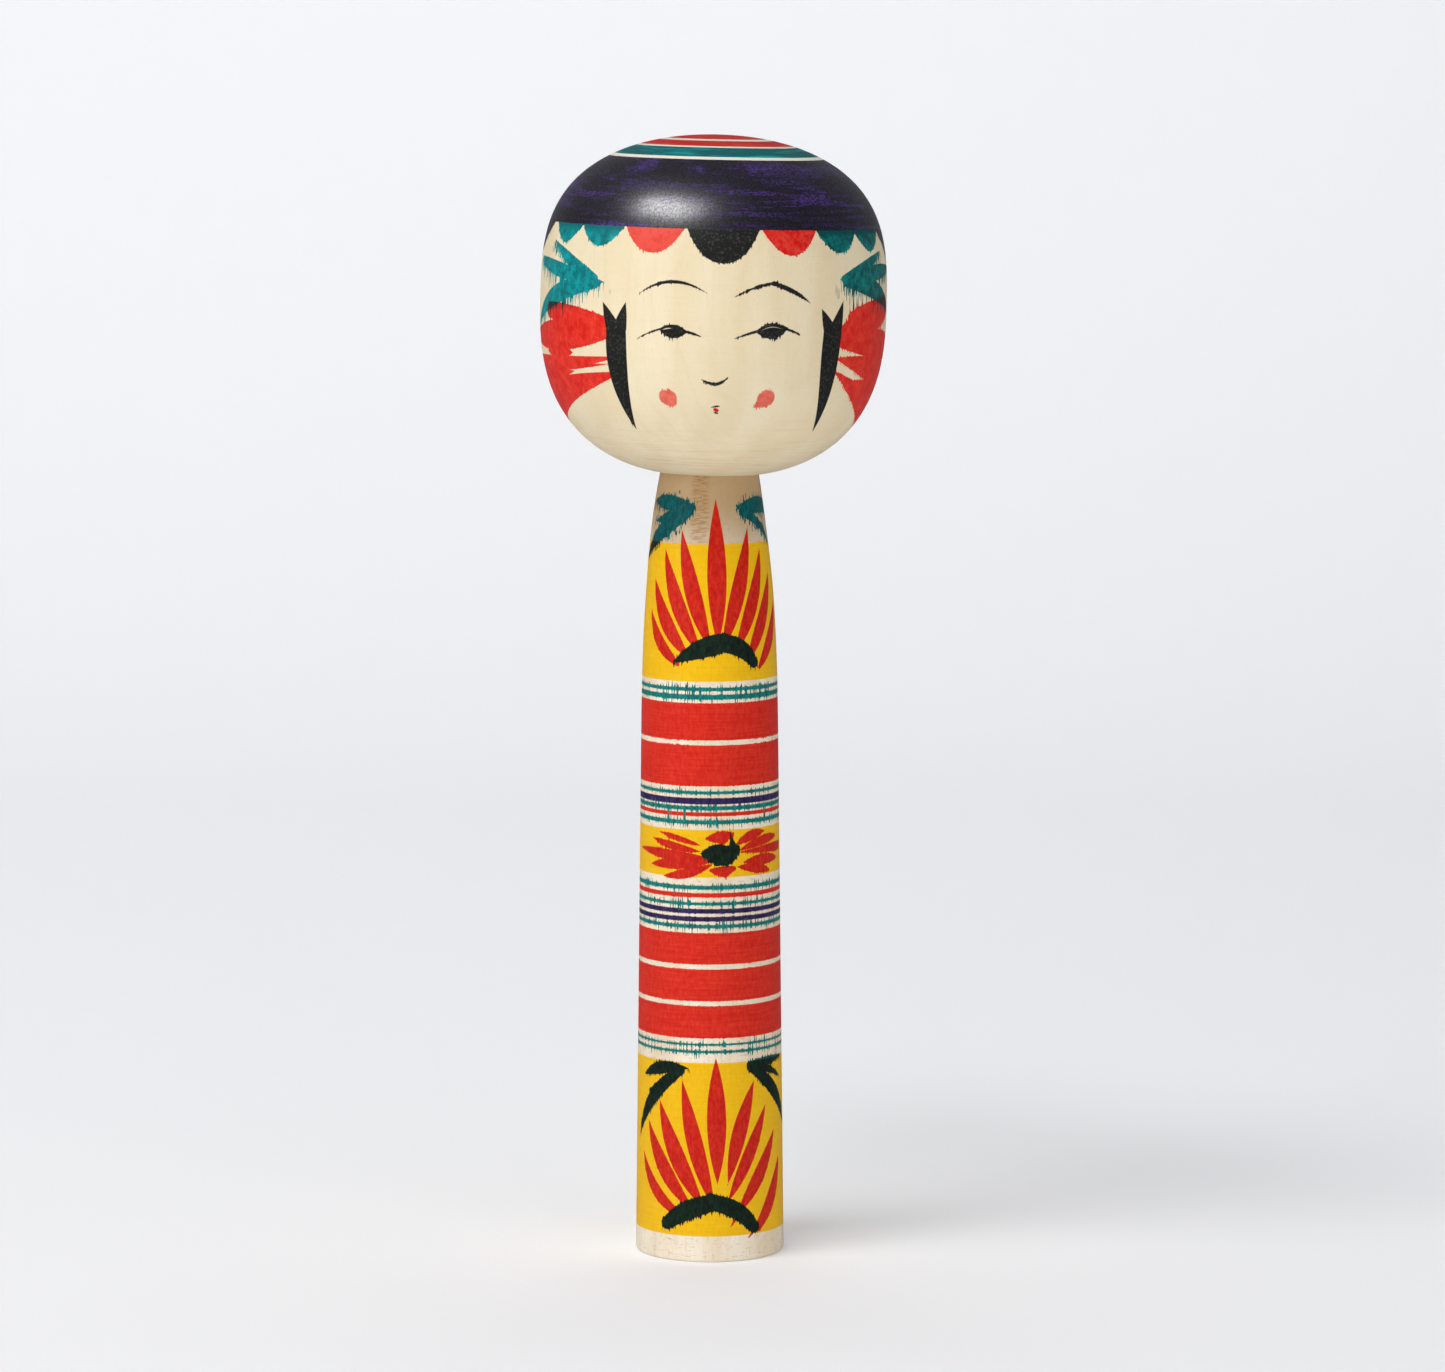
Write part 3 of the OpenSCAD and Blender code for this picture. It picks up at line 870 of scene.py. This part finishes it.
def inside_cap(tree, around, up, out, creep, on_crown):
    """How deep a point lies inside the dark hair, from the hairline or the nape up to the crown."""
    aside = work(tree, "SUBTRACT", work(tree, "ABSOLUTE", around), NAPE_START)
    nape = work(tree, "DIVIDE", aside, NAPE_FULL - NAPE_START, clamp=True)
    nape = work(tree, "POWER", work(tree, "SUBTRACT", 1.0, nape), NAPE_CURVE)
    nape = work(tree, "MULTIPLY", work(tree, "SUBTRACT", 1.0, nape), NAPE_DROP)
    hair_edge = work(tree, "SUBTRACT", HAIRLINE, nape)
    fray = work(tree, "MULTIPLY", creep, grade(tree, nape, 0.0, 2.0, 0.2, 2.0))
    hair = work(tree, "ADD", work(tree, "SUBTRACT", up, hair_edge), fray)
    off_crown = work(tree, "MULTIPLY", work(tree, "SUBTRACT", 1.0, on_crown), head_radius)
    crown_wood = work(tree, "SUBTRACT", out, CAP_EDGE)
    return work(tree, "MINIMUM", hair, work(tree, "ADD", crown_wood, off_crown))


def cap_violet(tree, wood, up, streak):
    """Where the cap's black dye is thin enough to look violet: in streaks, patches and a low line."""
    patchy = grade(tree, cloud(tree, wood, (16.0, 16.0, 5.0), 2.0), 0.36, 0.56, 0.4, 1.0)
    violet = work(tree, "MULTIPLY", work(tree, "MULTIPLY_ADD", streak, 0.92, 0.08), patchy)
    speckle = cloud(tree, wood, (0.6, 0.6, 0.4), 2.0, 0.6)
    violet = work(tree, "MULTIPLY", violet, grade(tree, speckle, 0.42, 0.58, 0.1, 1.4))
    low_line = work(tree, "SUBTRACT", 1.0, grade(tree, up, 53.2, 54.6))
    higher = grade(tree, up, 54.0, 60.0, 0.35, 1.0)
    return work(tree, "MULTIPLY", violet, work(tree, "MAXIMUM", low_line, higher))


def head_finish():
    """The head's waxed wood, with its dyes laid in the order that they are brushed on."""
    material, tree = waxed("head_waxed_wood")
    wood, place, around, up, out = surface_place(tree, head_radius, seat_height, head_lean)
    grain = put(tree, "ShaderNodeGroup", {
        "Wood": wood, "Pale": FACE_WOOD, "Warm": FACE_WARM, "Brown": FACE_BROWN, "Rings": 0.05,
        "Flecks": 0.08, "Pores": 0.12, "Ring centre": (-60.0, 90.0, 200.0)}, group=turned_wood).outputs
    creep = put(tree, "ShaderNodeGroup", {"Wood": wood}, group=fibre_creep).outputs["Comb"]
    mottle = grade(tree, cloud(tree, wood, (2.0, 2.0, 2.0), 5.0, 0.8), 0.34, 0.7)
    # Painted light: the wood pales toward the crown, standing in for the strong light from above.
    colour = shade(tree, grain["Color"], CROWN_PAINTED_LIGHT, grade(tree, up, 55.0, 64.0, 0.0, 0.8))
    sweep = tool_sweep(tree, wood, up, out)
    near_chin = grade(tree, up, 3.0, 14.0, 0.5, 0.06)
    marks = work(tree, "MULTIPLY", grade(tree, sweep, 0.45, 0.75), near_chin)
    colour = shade(tree, colour, FACE_BROWN, marks)

    # Share toward the right of the face: the ribbon dye creeps further there, and the leaves' teal is
    # deeper there, partly as painted shade.
    toward_right = grade(tree, around, -10.0, 25.0)
    colour, leaf, leaf_thin = hair_ribbons(tree, place, up, creep, mottle, toward_right, colour)
    colour = front_fringe(tree, place, up, creep, mottle, toward_right, leaf, leaf_thin, colour)
    colour = ink_and_rouge(tree, wood, place, creep, mottle, colour)

    on_crown = grade(tree, up, 60.0, 62.0)
    cap = inside_cap(tree, around, up, out, creep, on_crown)
    streak = grade(tree, sweep, 0.46, 0.62)
    colour, capped = soak(tree, colour, CAP, CAP_VIOLET, cap, cap_violet(tree, wood, up, streak))
    rings = bands(tree, out, CROWN_TEAL, 0.0)
    colour, _ = soak(tree, colour, FACE_TEAL, FACE_TEAL_THIN, rings, streak, strength=on_crown)
    rings = bands(tree, out, CROWN_RED, 0.0)
    colour, _ = soak(tree, colour, FACE_RED, FACE_RED_THIN, rings, streak, strength=on_crown)

    grit = cloud(tree, wood, (0.3, 0.3, 0.45), 2.0)
    height = work(tree, "MULTIPLY_ADD", grit, 0.9, grain["Height"])
    height = work(tree, "MULTIPLY_ADD", sweep, 0.5, height)
    sparkle = work(tree, "MULTIPLY", capped, grade(tree, grit, 0.32, 0.68, 0.3, 1.0))
    shine = work(tree, "ADD", sparkle, 0.05)
    finish_wax(tree, colour, grain["Fibre"], height, bump=0.7, shine=shine)
    return material


head = turn("head_turning", head_outline(), lathe_tree, head_finish())
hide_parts("head")
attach(head, "head")

# ---------------------------------------------------------------------------------------------
# The table the doll stands on: a seamless sweep of pale matt paper, flat under the doll and
# curving up well behind it. Its slight glow is painted light, which brightens the paper and lights the
# doll.

SWEEP_NEAR = -2.4
SWEEP_FAR = 1.6
SWEEP_RISE = 0.9
SWEEP_TOP = 3.0
SWEEP_HALF = 1.1
SWEEP_STEPS = 24
PAPER_GLOW = 0.165
PAPER_ROUGH = 0.8
PAPER_SHEEN = 0.15
PAPER_TOOTH = 320.0


def paper_sweep():
    """The paper, which lights the doll softly but makes no mirror image in its wax."""
    profile = [(SWEEP_NEAR, 0.0), (0.0, 0.0), (SWEEP_FAR - SWEEP_RISE, 0.0)]
    for i in range(1, SWEEP_STEPS + 1):
        angle = math.pi / 2 * i / SWEEP_STEPS
        profile.append((SWEEP_FAR - SWEEP_RISE * (1 - math.sin(angle)),
                        SWEEP_RISE * (1 - math.cos(angle))))
    profile.append((SWEEP_FAR, SWEEP_TOP))
    corners = [(side, y, z) for y, z in profile for side in (-SWEEP_HALF, SWEEP_HALF)]
    faces = [(2 * i, 2 * i + 1, 2 * i + 3, 2 * i + 2) for i in range(len(profile) - 1)]
    mesh = bpy.data.meshes.new("paper_sweep")
    mesh.from_pydata(corners, [], faces)
    mesh.shade_smooth()
    material = bpy.data.materials.new("pale_paper")
    material.use_nodes = True
    tree = material.node_tree
    surface = tree.nodes["Principled BSDF"]
    seen = put(tree, "ShaderNodeTexCoord", {}).outputs["Object"]
    inputs = {"Vector": seen, "Scale": PAPER_TOOTH, "Detail": 3.0}
    tooth = put(tree, "ShaderNodeTexNoise", inputs).outputs[0]
    tone = shade(tree, paint("edeef0"), paint("f2f3f5"), tooth)
    tree.links.new(tone, surface.inputs["Base Color"])
    surface.inputs["Roughness"].default_value = PAPER_ROUGH
    surface.inputs["Specular IOR Level"].default_value = PAPER_SHEEN
    # Painted light: the paper glows a little, though it is no lamp.
    surface.inputs["Emission Color"].default_value = paint("f4f6fb")
    surface.inputs["Emission Strength"].default_value = PAPER_GLOW
    mesh.materials.append(material)
    floor = bpy.data.objects.new("paper_sweep", mesh)
    bpy.context.scene.collection.objects.link(floor)
    floor.visible_glossy = False
    return floor


paper_sweep()

# ---------------------------------------------------------------------------------------------
# The studio: a soft light high on the left with a bright core, a broad panel low on the left, a
# panel low in front on the right and a strip over the paper behind, in a pale room. The camera is
# just above the doll's crown and looks slightly down.

WARM_WHITE = (1.0, 0.99, 0.98)
PANEL_WHITE = (1.0, 0.995, 0.98)
COOL_WHITE = (0.98, 0.99, 1.0)
ROOM_TINT = (0.97, 0.98, 1.0, 1.0)
ROOM_LIGHT = 0.16


def soft_light(name, place, target, size, power, tint):
    """A rectangular lamp that faces its target. Its power is in watts."""
    light = bpy.data.lights.new(name, "AREA")
    light.shape = "RECTANGLE"
    light.size, light.size_y = size
    light.energy = power
    light.color = tint
    lamp = bpy.data.objects.new(name, light)
    bpy.context.scene.collection.objects.link(lamp)
    lamp.location = place
    aim = [t - p for t, p in zip(target, place)]
    flat = math.hypot(aim[0], aim[1])
    lamp.rotation_euler = (math.atan2(flat, -aim[2]), 0.0, math.atan2(aim[1], aim[0]) - math.pi / 2)
    return lamp


doll_middle = (0.0, 0.0, 0.12)
paper_rise = (0.0, 1.5, 0.4)
soft_light("high_left", (-0.8, -1.0, 2.1), doll_middle, (1.5, 0.7), 22.0, WARM_WHITE)
core = soft_light("high_left_core", (-1.05, -0.95, 2.0), doll_middle, (1.3, 0.65), 38.0, WARM_WHITE)
wall = soft_light("wall_left", (-1.7, -1.0, 0.6), doll_middle, (1.4, 1.4), 22.5, PANEL_WHITE)
front = soft_light("reflector", (1.0, -1.5, 0.05), doll_middle, (1.2, 0.8), 22.0, PANEL_WHITE)
strip = soft_light("on_the_paper", (0.0, 0.5, 1.7), paper_rise, (1.6, 0.4), 4.8, COOL_WHITE)

# The core only makes the highlight in the wax, and the panels and the strip make none
core.visible_diffuse = False
for lamp in (wall, front, strip):
    lamp.visible_glossy = False

world = bpy.data.worlds.new("pale_room")
world.use_nodes = True
world.node_tree.nodes["Background"].inputs["Color"].default_value = ROOM_TINT
world.node_tree.nodes["Background"].inputs["Strength"].default_value = ROOM_LIGHT
bpy.context.scene.world = world

CAMERA_AWAY = 1.2
CAMERA_HEIGHT = 0.264
CAMERA_TO_RIGHT = 0.00275
CAMERA_DOWN = math.radians(6.73)
LENS_LENGTH = 140.5
SENSOR_WIDTH = 36.0
SEES_TO = 20.0

lens = bpy.data.cameras.new("camera")
lens.lens = LENS_LENGTH
lens.sensor_width = SENSOR_WIDTH
lens.clip_end = SEES_TO
camera = bpy.data.objects.new("camera", lens)
bpy.context.scene.collection.objects.link(camera)
camera.location = (CAMERA_TO_RIGHT, -CAMERA_AWAY, CAMERA_HEIGHT)
camera.rotation_euler = (math.pi / 2 - CAMERA_DOWN, 0.0, 0.0)
bpy.context.scene.camera = camera
bpy.context.scene.view_settings.view_transform = "Standard"
